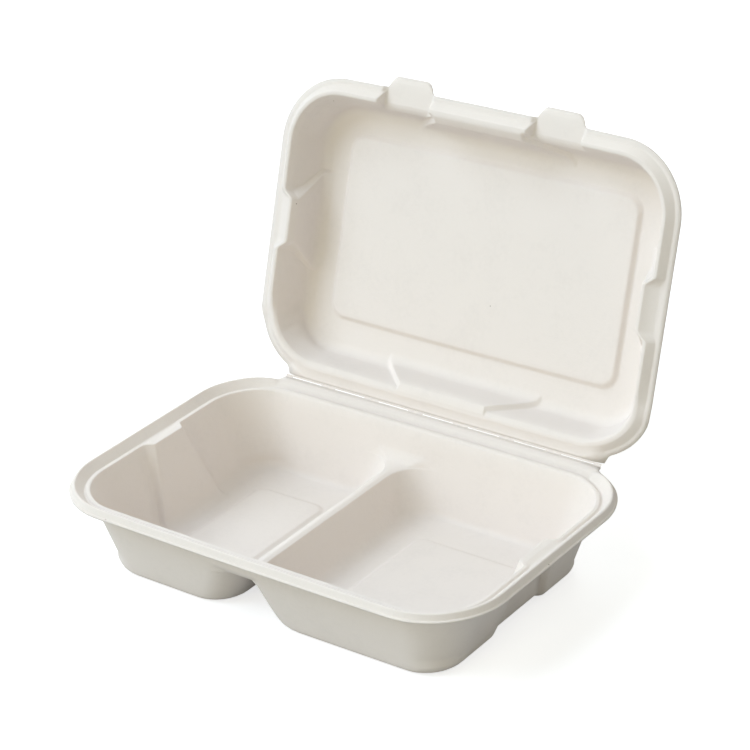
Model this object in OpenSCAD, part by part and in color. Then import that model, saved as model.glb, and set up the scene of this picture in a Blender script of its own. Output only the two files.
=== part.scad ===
// Hinged meal box moulded from sugarcane fibre, with two compartments, standing open.
// X runs side to side, Y from the front to the hinge, Z up from the table. Millimetres.
// The real box is one moulded sheet. It is parted here only along its perforated fold,
// so that the lid can turn: the tray and the lid are one closed shell each.

/* [Sheet] */
// Thickness of the moulded fibre sheet of the tray
tray_sheet = 0.85; // [0.6:0.05:1.2]
// Thickness of the moulded fibre sheet of the lid
lid_sheet = 0.7; // [0.5:0.05:1.1]

/* [Tray] */
// Width of the tray over its rim
tray_w = 230; // [215:1:245]
// Depth of the tray over its rim, at the corners
tray_d = 149.5; // [146:0.5:160]
// Height of the tray from its feet to the crest of its rim
tray_h = 42; // [38:0.5:48]
// Plan radius of the rim's corners
corner_r = 35.5; // [32:0.5:40]
// How far the long sides bow out at their middle
side_bow = 1.2; // [0:0.1:2.5]
// Plan radius of the corners where the walls reach the floor
foot_r = 18.5; // [15:0.5:22]
// Lean of the two end walls from upright, in degrees
end_lean = 19.5; // [17:0.5:24]
// Lean of the front and back walls from upright, in degrees
long_lean = 13; // [11:0.5:17]
// Radius between wall and floor
floor_fillet = 8; // [5:0.5:9]

/* [Rim of the tray] */
// Width of the little flange outside the bead
flange_w = 0.9; // [0.5:0.1:1.2]
// From the trimmed edge in to the crest of the bead
crest_in = 2.7; // [2.4:0.1:3]
// Height of the bead over the ledge
bead_h = 3.2; // [2.6:0.1:3.6]
// Drop from the crest to the trimmed edge
skirt_h = 3; // [2.4:0.1:3.6]
// From the trimmed edge in to the groove
groove_in = 6.9; // [6.6:0.1:7.2]
// From the trimmed edge in to the ledge's inner edge
ledge_in = 9.2; // [8.8:0.1:9.5]
// From the trimmed edge in to the top of the wall
wall_in = 10; // [9.8:0.1:10.4]

/* [Divider] */
// Place of the divider's ridge, left of the middle
ridge_x = -11; // [-20:0.5:20]
// Depth of the ridge below the crest of the rim
ridge_drop = 20; // [15:0.5:22]
// Flat width of the ridge between its rounded edges
ridge_w = 3; // [2.4:0.1:5]
// Lean of the divider's walls from upright, in degrees
ridge_lean = 21; // [17:0.5:24]
// Plan radius of the flares where the divider meets the long walls
flare_r = 14.5; // [12:0.5:16]
// Height of the fillet between the flares and the long walls
flare_fillet = 4.5; // [3:0.5:5.5]

/* [Panels] */
// Height of the raised floor panels
floor_panel_h = 0.9; // [0.5:0.1:1.5]
// From the foot of the end walls and the divider in to the floor panels
floor_panel_in = 14.5; // [13:0.5:17]
// From the foot of the long walls in to the floor panels
floor_panel_long = 19.5; // [14:0.5:22]
// Half width of the end walls' panels at the ledge
end_panel_top = 11; // [8:0.5:14]
// Half width of the end walls' panels at the floor
end_panel_foot = 20.5; // [16:0.5:22]
// How far the end walls' panels stand in at the ledge
end_panel_in = 4.2; // [3:0.1:4.6]
// How far the end walls' panels stand in at the floor
end_panel_low = 2.6; // [1.5:0.1:3.5]

/* [Lid] */
// Gap in plan between the tray's trimmed edge and the shut lid's
lid_in = 5.4; // [5:0.1:6]
// Depth of the lid from its flange to the inside of its top
lid_depth = 18; // [14:0.5:24]
// Plan radius of the lid's corners
lid_corner_r = 33; // [31:0.5:35]
// Plan radius of the lid's two corners beside the hinge
lid_hinge_r = 44; // [43:0.5:46]
// Plan radius of the lid's corners at its top
lid_top_r = 22; // [18:1:26]
// Lean of the lid's walls from upright, in degrees
lid_lean = 17; // [12:0.5:22]
// Radius between the lid's walls and top
lid_fillet = 8; // [5:0.5:10]
// Height of the nose that drops inside the tray
nose_h = 3.4; // [2.6:0.1:3.6]
// Height of the nose along the hinge
hinge_nose_h = 0.9; // [0.5:0.1:1.1]
// Step of the lid's raised top panel
top_panel_h = 1.5; // [1:0.1:2.5]
// From the lid's edge in to its top panel
top_panel_in = 28.5; // [26:0.5:32]
// How far the panels of the lid's walls stand in
lid_panel_in = 2.4; // [1.5:0.1:2.8]
// How far the end walls' panels notch the nose
lid_notch = 4.8; // [4.6:0.1:5.2]
// Half width of the lid's long wall panels at the rim
long_panel_rim = 24; // [20:0.5:24]
// Half width of the lid's long wall panels at the top
long_panel_top = 43; // [38:0.5:46]
// Half width of the lid's end wall panels at the rim
lid_end_panel_rim = 13; // [12.5:0.5:15]
// Half width of the lid's end wall panels at the top
lid_end_panel_top = 23; // [18:0.5:26]

/* [Tabs and hinge] */
// Middle of each locking tab from the middle of the lid
tab_x = 41.3; // [40:0.1:44]
// Half width of a tab where it leaves the lid's edge
tab_half = 15.7; // [15.2:0.1:15.8]
// How far a tab stands out from the lid's edge
tab_out = 5.4; // [5:0.1:6.2]
// Height of a tab's pocket over the flange
pocket_h = 2.1; // [1.9:0.1:2.6]
// From the tray's side in to the end of the hinge web
web_in = 25.5; // [25:0.5:31]
// Width of the web from the tray's edge to the fold
web_tray = 1.4; // [1:0.1:2.5]
// Extra width of the lid's flange along the hinge
web_lid = 1.6; // [1:0.1:2.5]
// Drop of the fold below the crest of the rim
fold_drop = 1.5; // [1.3:0.1:1.7]
// Clear gap between tray and lid at the fold
fold_gap = 0.3; // [0.2:0.05:0.4]
// Angle that the lid stands open, from shut
open_angle = 107.5; // [90:0.5:120]

/* [Hidden] */
fibre = [0.93, 0.92, 0.89];

// Rounded transitions are drawn with these shares and small offsets
soft = 0.25;            // drop of a bead's shoulders below its crest
shoulder = 0.7;         // half width of a bead's crown
blend = 0.75;           // share of a height kept one station past the web's end
ridge_round = [[0, 0], [0.9, 0.35], [1.6, 1.3]];    // ridge's edge: out, down
fillet_steps = [0, 18, 38, 58];                     // fillet stations, from the floor
turn_steps = [0, 22.5, 45, 67.5, 90];               // stations of a flare's quarter turn

half_w = tray_w / 2;
half_d = tray_d / 2;
web_half = half_w - web_in;
web_end = 3.5;                                      // turn over which the web fades out, in degrees
// Turn of a corner at which the web ends
function web_turn(straight, r) = asin((web_half - straight) / r);
function corner_stations(turn) = concat(
    [0, turn / 2, turn],
    [for (i = [0:6]) turn + web_end + (90 - turn - web_end) * i / 6]);
arc_steps = corner_stations(web_turn(half_w - corner_r, corner_r));
ledge_z = tray_h - bead_h;
wall_drop = 0.8;                                    // from the ledge to the top of the wall
wall_z = ledge_z - wall_drop;
ridge_z = tray_h - ridge_drop;
floor_z = tray_sheet;
fold_top = tray_h - fold_drop;
fold_z = fold_top + fold_gap / 2;
fold_y = half_d + side_bow + web_tray;
lid_half_w = half_w - lid_in;
hinge_arc_steps = corner_stations(web_turn(lid_half_w - lid_hinge_r, lid_hinge_r));
lid_len = fold_y + half_d - lid_in;                 // fold to front edge of the shut lid, at its corners
lid_half_d = lid_len / 2;
lid_ahead = fold_y - lid_half_d;                    // the lid's middle lies this far behind the tray's

// The open box stands centred on the origin, front to back
lid_back = fold_y - lid_len * cos(open_angle) + (lid_depth + lid_sheet) * sin(open_angle);
middle_y = (lid_back - lid_back_trim() - half_d - side_bow) / 2;

// The lid's top leaves off before its front edge, which takes this off its reach
function lid_back_trim() = -(wall_in + lid_depth * tan(lid_lean) + lid_fillet / 2) * cos(open_angle);

function mix(a, b, t) = a + (b - a) * t;
function clip(t) = min(1, max(0, t));
function back_to_front(list) = [for (i = [len(list) - 1:-1:0]) list[i]];
function steps(a, b, n) = [for (i = [1:n]) mix(a, b, i / n)];

// Long sides bow out, most at their middle
function bowed(x, y, half_x, half_y, bow) = y + bow * (y / half_y) * (1 - pow(x / half_x, 2));

// Triangles between two closed rings of points, seen from above
function band(outer, inner, flip) = [
    for (i = [0:len(outer) - 1])
    let (j = (i + 1) % len(outer))
    for (t = [[inner[i], inner[j], outer[j]], [inner[i], outer[j], outer[i]]])
    flip ? [t[2], t[1], t[0]] : t
];

// Triangles between two open rows of points, back row first, seen from above
function strip(back, front, flip) = [
    for (i = [0:len(back) - 2])
    for (t = [[back[i], back[i + 1], front[i + 1]], [back[i], front[i + 1], front[i]]])
    flip ? [t[2], t[1], t[0]] : t
];

// Inset and height of a wall at a fillet station: inset of its sharp foot, lean, radius
function fillet_in(foot, lean, r, turn) = turn < 90 - lean
    ? foot + r * tan((90 - lean) / 2) - r * sin(turn)
    : foot - r * (1 - cos(turn)) * tan(lean);

// Tray.
// A ring is [end inset, long inset, corner radius, height, panel share, web height, ridge inset].
// side = 1 is the top face and side = -1 the under face, one sheet away.

function end_in(z) = wall_in + (wall_z - z) * tan(end_lean);
function long_in(z) = wall_in + (wall_z - z) * tan(long_lean);
function depth_share(z) = clip((wall_z - z) / (wall_z - floor_z));

rim_in = [
    0, flange_w, crest_in - shoulder, crest_in, crest_in + shoulder,
    groove_in - shoulder, groove_in, ledge_in, wall_in
];
rim_z = [
    tray_h - skirt_h, tray_h - skirt_h + soft, tray_h - soft, tray_h, tray_h - soft,
    ledge_z + soft, ledge_z, ledge_z + soft / 2, wall_z
];
// Along the web the bead sinks to a gentle slope from the fold to the ledge
web_z = [
    fold_top, fold_top, fold_top - soft, fold_top - 2 * soft, fold_top - 3 * soft,
    ledge_z + 2 * soft, ledge_z, ledge_z + soft / 2, wall_z
];
// Face direction of each rim station, from level, in degrees, leaning in towards the hollow
rim_face = [-10, -30, -35, 0, 22, 22, 0, 20, 55];
web_face = [0, 0, 0, 5, 10, 15, 5, 20, 55];

function rim_ring(k, under) =
    let (t = under ? tray_sheet : 0,
         edge = k == 0,
         s = edge ? 0 : rim_in[k] - t * sin(rim_face[k]),
         z = rim_z[k] - t * (edge ? 1 : cos(rim_face[k])))
    [s, s, corner_r - s, z, k == len(rim_in) - 1 ? 1 : 0, web_z[k] - t * cos(web_face[k]), 0];

// A wall ring at a height, with its corner radius between the rim's and the floor's
function wall_ring(z, under) =
    let (t = under ? tray_sheet : 0)
    [end_in(z) - t * cos(end_lean), long_in(z) - t * cos(long_lean),
     mix(corner_r - wall_in, foot_r, depth_share(z)) + t * (1 - depth_share(z)),
     z - t * sin(end_lean), 1, undef, 0];

mid_wall_z = (wall_z + ridge_z) / 2 - 1;
rim_count = len(rim_in) + 2;

function tray_top_ring(k, under) =
    k < len(rim_in) ? rim_ring(k, under)
    : k == len(rim_in) ? wall_ring(mid_wall_z, under)
    : wall_ring(ridge_z, under);

// Rings inside one compartment, from the ridge down to the floor panel
ridge_foot = ridge_round[2][0] + (ridge_z - ridge_round[2][1] - floor_z) * tan(ridge_lean);

function hollow_ring(k, under) =
    let (t = under ? tray_sheet : 0, n = len(ridge_round), f = len(fillet_steps))
    k < n ?
        let (drop = ridge_round[k][1], tilt = [22, 45, 68][k])
        [wall_ring(ridge_z - drop, under)[0], wall_ring(ridge_z - drop, under)[1],
         wall_ring(ridge_z - drop, under)[2],
         ridge_z - drop - t * (k == 0 ? 1 : cos(tilt)), 1, undef,
         ridge_round[k][0] - t * sin(tilt)]
    : k < n + f ?
        let (turn = fillet_steps[f - 1 - (k - n)],
             z = floor_z + floor_fillet * (1 - cos(turn)))
        [fillet_in(end_in(floor_z), end_lean, floor_fillet, turn) - t * sin(turn),
         fillet_in(long_in(floor_z), long_lean, floor_fillet, turn) - t * sin(turn),
         foot_r - floor_fillet / 2 * cos(turn), z - t * cos(turn), 1, undef,
         fillet_in(ridge_foot, ridge_lean, floor_fillet, turn) - t * sin(turn)]
    :
        let (inner = k > n + f,
             step = inner ? floor_panel_h * 1.4 : 0,
             in = floor_panel_in + step)
        [end_in(floor_z) + in, long_in(floor_z) + floor_panel_long + step, floor_panel_r,
         floor_z - t + (inner ? floor_panel_h : 0), 0, undef, ridge_foot + in];

floor_panel_r = 6;
hollow_count = len(ridge_round) + len(fillet_steps) + 2;

// The outer stretch of a ring on one side of the divider, from the front round to the back
function outer_stretch(x_in, ring) =
    let (hx = half_w - ring[0], hy = half_d - ring[1], r = ring[2],
         share = depth_share(ring[3]),
         panel = ring[4] * mix(end_panel_in, end_panel_low, share),
         w = min(mix(end_panel_top, end_panel_foot, share), hy - r - 2),
         ramp = mix(1.2, 2.4, share),
         ends = [
             [hx, -(w + (hy - r)) / 2 - ramp / 2], [hx, -w - ramp], [hx - panel, -w],
             [hx - panel, 0],
             [hx - panel, w], [hx, w + ramp], [hx, (w + hy - r) / 2 + ramp / 2]
         ],
         arc = [for (a = arc_steps) [hx - r + r * sin(a), hy - r + r * cos(a)]],
         run = [for (t = [0:1 / 3:0.99]) [mix(x_in, hx - r, t), hy]])
    concat(
        [for (p = run) [p[0], -p[1]]],
        [for (p = arc) [p[0], -p[1]]],
        ends,
        back_to_front(arc),
        back_to_front(run)
    );

stretch_count = 2 * 3 + 2 * len(arc_steps) + 7;

// How much of the web each station of a stretch carries: reach to the fold, and height
function web_reach(i) =
    let (back = stretch_count - 1 - i)
    back <= 3 + 2 ? 1 : 0;
function web_rise(i) =
    let (back = stretch_count - 1 - i)
    back <= 3 + 2 ? 1 : back == 3 + 3 ? blend : back == 3 + 4 ? 0.2 : 0;

function tray_point(p, ring, k, reach, rise) =
    let (y = bowed(p[0], p[1], half_w, half_d, side_bow),
         webbed = ring[5] != undef)
    [p[0],
     k == 0 && reach > 0 ? fold_y - fold_gap / 2 : y,
     webbed ? mix(ring[3], ring[5], rise) : ring[3]];

flare_cols = [-1, -0.86, -0.4, 0.4, 0.86, 1];
flare_reach = ridge_w / 2 + flare_r;

// Points across the divider's end, between the two stretches, left to right
function flare_points(sgn, ring, k) = [
    for (c = [1:len(flare_cols) - 2])
    let (last = k == rim_count - 1, lift = last ? flare_fillet : 0,
         hy = half_d - ring[1] + lift * tan(long_lean),
         x = ridge_x + flare_cols[c] * flare_reach,
         p = tray_point([x, sgn * hy], ring, k, sgn > 0 ? 1 : 0, sgn > 0 ? 1 : 0))
    [p[0], p[1], p[2] + lift]
];

function rim_points(k, under) =
    let (ring = tray_top_ring(k, under),
         right = outer_stretch(ridge_x + flare_reach, ring),
         left = outer_stretch(-ridge_x + flare_reach, ring))
    concat(
        [for (i = [0:stretch_count - 1]) tray_point(right[i], ring, k, web_reach(i), web_rise(i))],
        back_to_front(flare_points(1, ring, k)),
        back_to_front([for (i = [0:stretch_count - 1])
            tray_point([-left[i][0], left[i][1]], ring, k, web_reach(i), web_rise(i))]),
        flare_points(-1, ring, k)
    );

// Divider side of a compartment's ring, from the back to the front, without its two ends
function ridge_stretch(x_side, ring) =
    let (x0 = x_side + ridge_w / 2 + ring[6], hy = half_d - ring[1],
         turn = [for (a = [1:len(turn_steps) - 1])
             [x0 + flare_r * (1 - sin(turn_steps[a])), hy - flare_r * (1 - cos(turn_steps[a]))]],
         straight = [for (y = steps(hy - flare_r, flare_r - hy, 3)) [x0, y]])
    concat(turn, straight, [for (i = [len(turn) - 2:-1:0]) [turn[i][0], -turn[i][1]]]);

ridge_count = 2 * (len(turn_steps) - 1) + 2;

function hollow_points(sgn, k, under) =
    let (ring = hollow_ring(k, under), x_side = sgn * ridge_x,
         outer = outer_stretch(x_side + ridge_w / 2 + ring[6] + flare_r, ring),
         loop = [for (p = concat(outer, ridge_stretch(x_side, ring)))
             [sgn * p[0], bowed(p[0], p[1], half_w, half_d, side_bow), ring[3]]])
    sgn > 0 ? loop : concat(
        back_to_front([for (i = [0:stretch_count - 1]) loop[i]]),
        back_to_front([for (i = [stretch_count:len(loop) - 1]) loop[i]])
    );

// Points of one face of the tray, in the order that its indices below expect
cols = len(flare_cols) - 2;
rim_n = 2 * stretch_count + 2 * cols;
loop_n = stretch_count + ridge_count;

function land_rows(under) =
    let (right = hollow_points(1, 0, under), left = hollow_points(-1, 0, under))
    [for (j = [0:ridge_count - 1])
        let (r = right[stretch_count + j], l = left[loop_n - 1 - j])
        [for (c = [1:cols])
            mix(l, r, (flare_cols[c] + 1) / 2)
            + [0, 0, j == 0 || j == ridge_count - 1 ? flare_fillet / 2 : 0]]];

function tray_face_points(under) =
    let (land = land_rows(under))
    concat(
        [for (k = [0:rim_count - 1]) each rim_points(k, under)],
        [for (i = [stretch_count:loop_n - 1]) hollow_points(1, 0, under)[i]],
        [for (i = [stretch_count:loop_n - 1]) hollow_points(-1, 0, under)[i]],
        [for (row = land) each row],
        [for (k = [1:hollow_count - 1]) each hollow_points(1, k, under)],
        [for (k = [1:hollow_count - 1]) each hollow_points(-1, k, under)]
    );

ridge_first = rim_count * rim_n;
land_first = ridge_first + 2 * ridge_count;
hollow_first = land_first + ridge_count * cols;
tray_face_n = hollow_first + 2 * (hollow_count - 1) * loop_n;

function span(first, n) = [for (i = [0:n - 1]) first + i];
function rim_ids(k) = span(k * rim_n, rim_n);
function right_ids(k) = k == 0
    ? concat(span((rim_count - 1) * rim_n, stretch_count), span(ridge_first, ridge_count))
    : span(hollow_first + (k - 1) * loop_n, loop_n);
function left_ids(k) = k == 0
    ? concat(
        span((rim_count - 1) * rim_n + stretch_count + cols, stretch_count),
        span(ridge_first + ridge_count, ridge_count))
    : span(hollow_first + (hollow_count - 2 + k) * loop_n, loop_n);

// Rows of the divider's top, from the back wall to the front wall, each left to right
function land_ids(j) =
    let (rim = rim_ids(rim_count - 1), n = stretch_count, last = ridge_count + 1)
    j == 0 ? [for (c = [0:cols + 1]) rim[n + cols - c]]
    : j == last ? [for (c = [0:cols + 1]) rim[(2 * n + cols - 1 + c) % rim_n]]
    : concat(
        [ridge_first + 2 * ridge_count - j],
        span(land_first + (j - 1) * cols, cols),
        [ridge_first + j - 1]);

function tray_face(flip) = concat(
    [for (k = [0:rim_count - 2]) each band(rim_ids(k), rim_ids(k + 1), flip)],
    [for (j = [0:ridge_count]) each strip(land_ids(j), land_ids(j + 1), flip)],
    [for (k = [0:hollow_count - 2]) each band(right_ids(k), right_ids(k + 1), flip)],
    [for (k = [0:hollow_count - 2]) each band(left_ids(k), left_ids(k + 1), flip)],
    [for (ids = [right_ids(hollow_count - 1), left_ids(hollow_count - 1)])
        flip ? ids : back_to_front(ids)]
);

function shifted(faces, by) = [for (f = faces) [for (i = f) i + by]];
function edge_wall(ids, by) = [
    for (i = [0:len(ids) - 1])
    let (j = (i + 1) % len(ids))
    for (t = [[ids[i], ids[j], ids[j] + by], [ids[i], ids[j] + by, ids[i] + by]]) t
];

module tray() {
    color(fibre)
    translate([0, -middle_y, 0])
    polyhedron(
        points = concat(tray_face_points(false), tray_face_points(true)),
        faces = concat(
            tray_face(false),
            shifted(tray_face(true), tray_face_n),
            edge_wall(rim_ids(0), tray_face_n)
        ),
        convexity = 8
    );
}

// Lid.
// It is drawn shut, seen from below: q is the height towards the tray from its flange.
// A ring is [end inset, long inset, corner radius, height, hinge height, spread, panel share].

lid_top_q = -lid_depth;
nose_in = [0, 2.5, 5.4, 6.2, 7.3, 8.4, 9.2];
nose_q = [0, 0.1, 0.85, 1, 0.95, 0.5, 0];            // shares of the nose's height
nose_face = [0, -12, -35, -8, 12, 35, 55];
lid_foot = nose_in[6] + lid_depth * tan(lid_lean);

// Tab profile: how far each ring of the rim moves out and up at a tab
tab_in = [-tab_out, -tab_out + 1.7, -tab_out + 2.6, 2, 5.5, 8.2, 9.6];
tab_root = [0, 0.7, 1.4];                           // the same beside the tab, at the pocket's end
tab_q = [-0.4, -pocket_h + 0.5, -pocket_h, -pocket_h, -pocket_h, -pocket_h, -pocket_h - 0.4];
tab_face = [-35, -25, -5, 0, 0, 20, 50];

function lid_ring(k, under) =
    let (t = under ? lid_sheet : 0, n = len(nose_in), f = len(fillet_steps))
    k < n ?
        let (s = k == 0 ? 0 : nose_in[k] - t * sin(nose_face[k]))
        [s, s, lid_corner_r - s, nose_h * nose_q[k] - t * (k == 0 ? 1 : cos(nose_face[k])),
         hinge_nose_h * nose_q[k] - t * (k == 0 ? 1 : cos(nose_face[k])),
         0, k < n - 2 ? 0 : k == n - 2 ? 0.6 : 1]
    : k < n + f ?
        let (turn = fillet_steps[f - 1 - (k - n)],
             q = lid_top_q + lid_fillet * (1 - cos(turn)),
             s = fillet_in(lid_foot, lid_lean, lid_fillet, turn) - t * sin(turn))
        [s, s, mix(lid_top_r, lid_top_r - lid_fillet / 2, cos(turn)), q - t * cos(turn),
         q - t * cos(turn), clip(-q / lid_depth), 1]
    :
        let (inner = k > n + f, s = top_panel_in + (inner ? top_panel_h * 1.3 : 0),
             q = lid_top_q + (inner ? top_panel_h : 0) - t)
        [s, s, top_panel_r, q, q, 1, 0];

top_panel_r = 7;
lid_count = len(nose_in) + len(fillet_steps) + 2;

// Stations along half of a long side, at the rim and at the top
tab_lo = tab_x - tab_half;
tab_hi = tab_x + tab_half;
rim_stations = [0, long_panel_rim, long_panel_rim + 1, tab_lo, tab_lo + 3.1, tab_lo + 4.4,
    tab_lo + 7.6, tab_x, tab_hi - 7.6, tab_hi - 4.4, tab_hi - 3.1, tab_hi];
top_stations = concat([0], [for (d = [0, 2.4, 4.4, 6.2, 8, 10, 12, 14, 16, 18.5, 21])
    long_panel_top + d]);
tab_share = [0, 0, 0, 0, 1, 1, 1, 1, 1, 1, 1, 0];
tab_reach = [0, 0, 0, 0, 0, 0.72, 0.95, 1, 0.95, 0.72, 0, 0];

// A quarter of a lid ring, from the middle of the long side round to the middle of the end
function lid_quarter(k, under, front) =
    let (ring = lid_ring(k, under), t = under ? lid_sheet : 0,
         hx = lid_half_w - ring[0], hy = lid_half_d - ring[1], r = ring[2],
         spread = ring[5], panel = lid_panel_in * ring[6], rim = k < len(nose_in),
         squeeze = min(1, (hx - r - 1) / top_stations[len(top_stations) - 1]),
         long = [for (i = [0:len(rim_stations) - 1])
             let (x = mix(rim_stations[i], top_stations[i] * (spread > 0 ? squeeze : 1), spread),
                  in = i < 2 && (k >= len(nose_in) - 1) ? panel : 0,
                  tab = front && rim ? tab_share[i] : 0,
                  root = tab > 0 && k < len(tab_root),
                  droop = root ? clip((tab_reach[i] - 0.72) / 0.28) : 1,
                  out = k < len(tab_in) ? tab_in[k] : 0,
                  tilt = k < len(tab_face) ? tab_face[k] * droop : 0,
                  s_tab = (root ? mix(tab_root[k], out, tab_reach[i]) : out) - t * sin(tilt),
                  q_tab = k < len(tab_q) ? mix(-pocket_h, tab_q[k], droop) - t * cos(tilt) : 0,
                  s = mix(ring[1] + in, s_tab, tab))
             [x, lid_half_d - s, front ? mix(ring[3], q_tab, tab) : ring[4]]],
         wide = front ? r : r + (lid_hinge_r - lid_corner_r) * (1 - spread),
         arc = [for (a = front ? arc_steps : hinge_arc_steps)
             let (low = front ? 0 : clip((56 - a) / 14))
             [hx - wide + wide * sin(a), hy - wide + wide * cos(a), mix(ring[3], ring[4], low)]],
         share = clip(-ring[3] / lid_depth),
         w = mix(lid_end_panel_rim, lid_end_panel_top, share) + (front ? 1 : -1) * lid_ahead,
         ramp = mix(1.4, 2.4, share),
         half = hy - wide,
         end = [[hx, mix(w + ramp, half, 0.5), ring[3]], [hx, w + ramp, ring[3]],
             [hx - end_inset(k), w, ring[3]]])
    concat(long, arc, end);

// The end walls' panels also notch the nose, over the tray's panels
function end_inset(k) = k < 2 ? 0 : k < len(nose_in) ? lid_notch
    : k < len(nose_in) + len(fillet_steps) ? lid_panel_in : 0;

quarter_n = len(rim_stations) + len(arc_steps) + 3;
lid_n = 4 * quarter_n - 2;

function lid_place(p, k, flip_x, front, i) =
    let (x = flip_x ? -p[0] : p[0],
         y = bowed(p[0], p[1], lid_half_w, lid_half_d, side_bow),
         web = !front && k == 0 && i < len(rim_stations) + 3,
         v = web ? lid_half_d - fold_gap / 2 : y - (front ? 0 : web_shift(k, i)))
    [x, front ? -v : v, p[2]];

// Along the hinge the nose keeps a wider flange from the fold, as the web is a part of it
function web_shift(k, i) =
    let (n = len(rim_stations))
    (k == 0 ? 0 : k < len(nose_in) ? 1 : k < len(nose_in) + len(fillet_steps) ? 0.6 : 0)
    * web_lid * (i < n + 2 ? 1 : i < n + 4 ? 0.6 : i == n + 4 ? 0.2 : 0);

// One ring, from the middle of the front to the right, the back and the left
function lid_points(k, under) =
    let (front = lid_quarter(k, under, true), back = lid_quarter(k, under, false),
         last = quarter_n - 1)
    concat(
        [for (i = [0:last]) lid_place(front[i], k, false, true, i)],
        [for (i = [last:-1:0]) lid_place(back[i], k, false, false, i)],
        [for (i = [1:last]) lid_place(back[i], k, true, false, i)],
        [for (i = [last:-1:1]) lid_place(front[i], k, true, true, i)]
    );

function lid_ids(k) = span(k * lid_n, lid_n);
lid_face_n = lid_count * lid_n;

function lid_face(flip) = concat(
    [for (k = [0:lid_count - 2]) each band(lid_ids(k), lid_ids(k + 1), flip)],
    [flip ? lid_ids(lid_count - 1) : back_to_front(lid_ids(lid_count - 1))]
);

module lid() {
    color(fibre)
    translate([0, fold_y - middle_y, fold_z])
    rotate([-open_angle, 0, 0])
    translate([0, -lid_half_d, fold_gap / 2])
    mirror([0, 0, 1])
    polyhedron(
        points = concat(
            [for (k = [0:lid_count - 1]) each lid_points(k, false)],
            [for (k = [0:lid_count - 1]) each lid_points(k, true)]),
        faces = concat(
            lid_face(false),
            shifted(lid_face(true), lid_face_n),
            edge_wall(lid_ids(0), lid_face_n)
        ),
        convexity = 8
    );
}

tray();
lid();
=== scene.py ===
from collections import namedtuple
import math

import bmesh
import bpy
import numpy as np
from mathutils import Matrix, Vector

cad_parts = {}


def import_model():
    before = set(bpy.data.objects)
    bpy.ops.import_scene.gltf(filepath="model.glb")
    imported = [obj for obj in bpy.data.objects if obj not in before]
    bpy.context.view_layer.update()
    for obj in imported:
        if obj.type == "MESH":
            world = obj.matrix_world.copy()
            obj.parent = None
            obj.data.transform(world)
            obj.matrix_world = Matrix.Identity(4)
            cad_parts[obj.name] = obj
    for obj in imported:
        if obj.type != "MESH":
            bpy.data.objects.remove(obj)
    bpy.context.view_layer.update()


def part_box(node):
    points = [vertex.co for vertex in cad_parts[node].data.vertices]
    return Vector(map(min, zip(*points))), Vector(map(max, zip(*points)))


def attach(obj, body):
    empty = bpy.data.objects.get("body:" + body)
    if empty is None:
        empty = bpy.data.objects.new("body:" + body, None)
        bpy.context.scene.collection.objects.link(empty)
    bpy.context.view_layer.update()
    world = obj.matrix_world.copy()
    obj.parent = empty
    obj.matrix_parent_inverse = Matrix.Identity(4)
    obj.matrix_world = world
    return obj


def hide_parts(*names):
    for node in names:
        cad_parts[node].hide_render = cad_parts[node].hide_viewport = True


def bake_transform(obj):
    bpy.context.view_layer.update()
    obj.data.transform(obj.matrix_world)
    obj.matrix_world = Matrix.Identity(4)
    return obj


bl_info = {
    "name": "Moulded meal box",
    "version": (1, 0, 0),
    "blender": (4, 5, 0),
    "location": "View3D > Sidebar > Meal Box",
    "description": "Builds an open two-compartment box of moulded plant fibre, its light and its camera",
    "category": "Object",
}

MM = 0.001

# Everything is in millimetres, with the tray's middle at x = y = 0, until box_shift()
# moves it back by the amount that the CAD is centred by.
HALF_W = 115.0
HALF_D = 74.75
HEIGHT = 42.0
BOW = 1.2               # the long sides bow out by this at their middle
TRAY_SHEET = 0.83
RIM_R = 35.5            # plan radius of the rim's trimmed edge
WALL_IN = 10.0          # inset of the walls' top, inside the rim and the ledge
WALL_Z = HEIGHT - 4.0
RIM_END_Z = HEIGHT - 8.0    # the rim's profiles end here, on the walls
WALL_TOP_R = 25.5
WALL_FOOT_R = 18.5
END_LEAN = 19.5
LONG_LEAN = 13.0
FLOOR_Z = 0.85
FLOOR_FILLET = 8.0      # radius between floor and end walls, and between floor and divider
LONG_FILLET = 3.0       # radius between floor and long walls
FLOOR_PANEL_IN = 14.5   # inset of the raised floor panels' edge from the walls' foot
FLOOR_PANEL_UP = 1.15
PANEL_BACK = 1.6        # the end walls' panels stand this far behind the middle
PANEL_HALF = (9.4, 20.2)    # their half width, ramp and depth at the ledge and at the floor
PANEL_RAMP = (4.4, 2.0)
PANEL_DEPTH = (4.2, 2.6)

RIDGE_Z = HEIGHT - 20.0
RIDGE_X = -11.0
RIDGE_HALF = 1.5        # half width of the divider's flat top
RIDGE_LEAN = 23.5
FLARE_R = 14.5          # plan radius where the divider meets the long walls
REACH = RIDGE_HALF + FLARE_R
GUSSET = 4.5            # rise of the fillet between the divider's top and the long walls

LID_HALF_W = 109.6
LID_SHEET = 0.68
LID_DEPTH = 18.0
LID_LEAN = 17.0
LID_R = 33.0
LID_FILLET = 6.0
TOP_PANEL_IN = 29.4     # inset of the raised top panel's edge from the lid's edge
TOP_PANEL_UP = 2.0
TAB_X = 41.3
TAB_HALF = 15.7
TAB_Q = -2.15           # height of the tabs' floor over the flange, towards the tray
NOTCH_AHEAD = 1.3       # the end notches reach twice this further forward than back
HINGE_BACK = 1.3        # the corners beside the hinge lie this far from the fold
OPEN = 107.5

FOLD_Y = HALF_D + BOW + 1.4
FOLD_TOP = HEIGHT - 1.5
FOLD_GAP = 0.15         # half the gap that the fold leaves between tray and lid
FOLD_Z = FOLD_TOP + FOLD_GAP
STRIP = 0.9             # half width of the bending strip at the fold
WEB_SPREAD = 3.4        # rows with a smaller inset than this spread over the web
SLITS = 7
SLIT_PITCH = 25.6
SLIT_HALF = 8.6
LID_HALF_D = (FOLD_Y + HALF_D - 5.4) / 2


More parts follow.
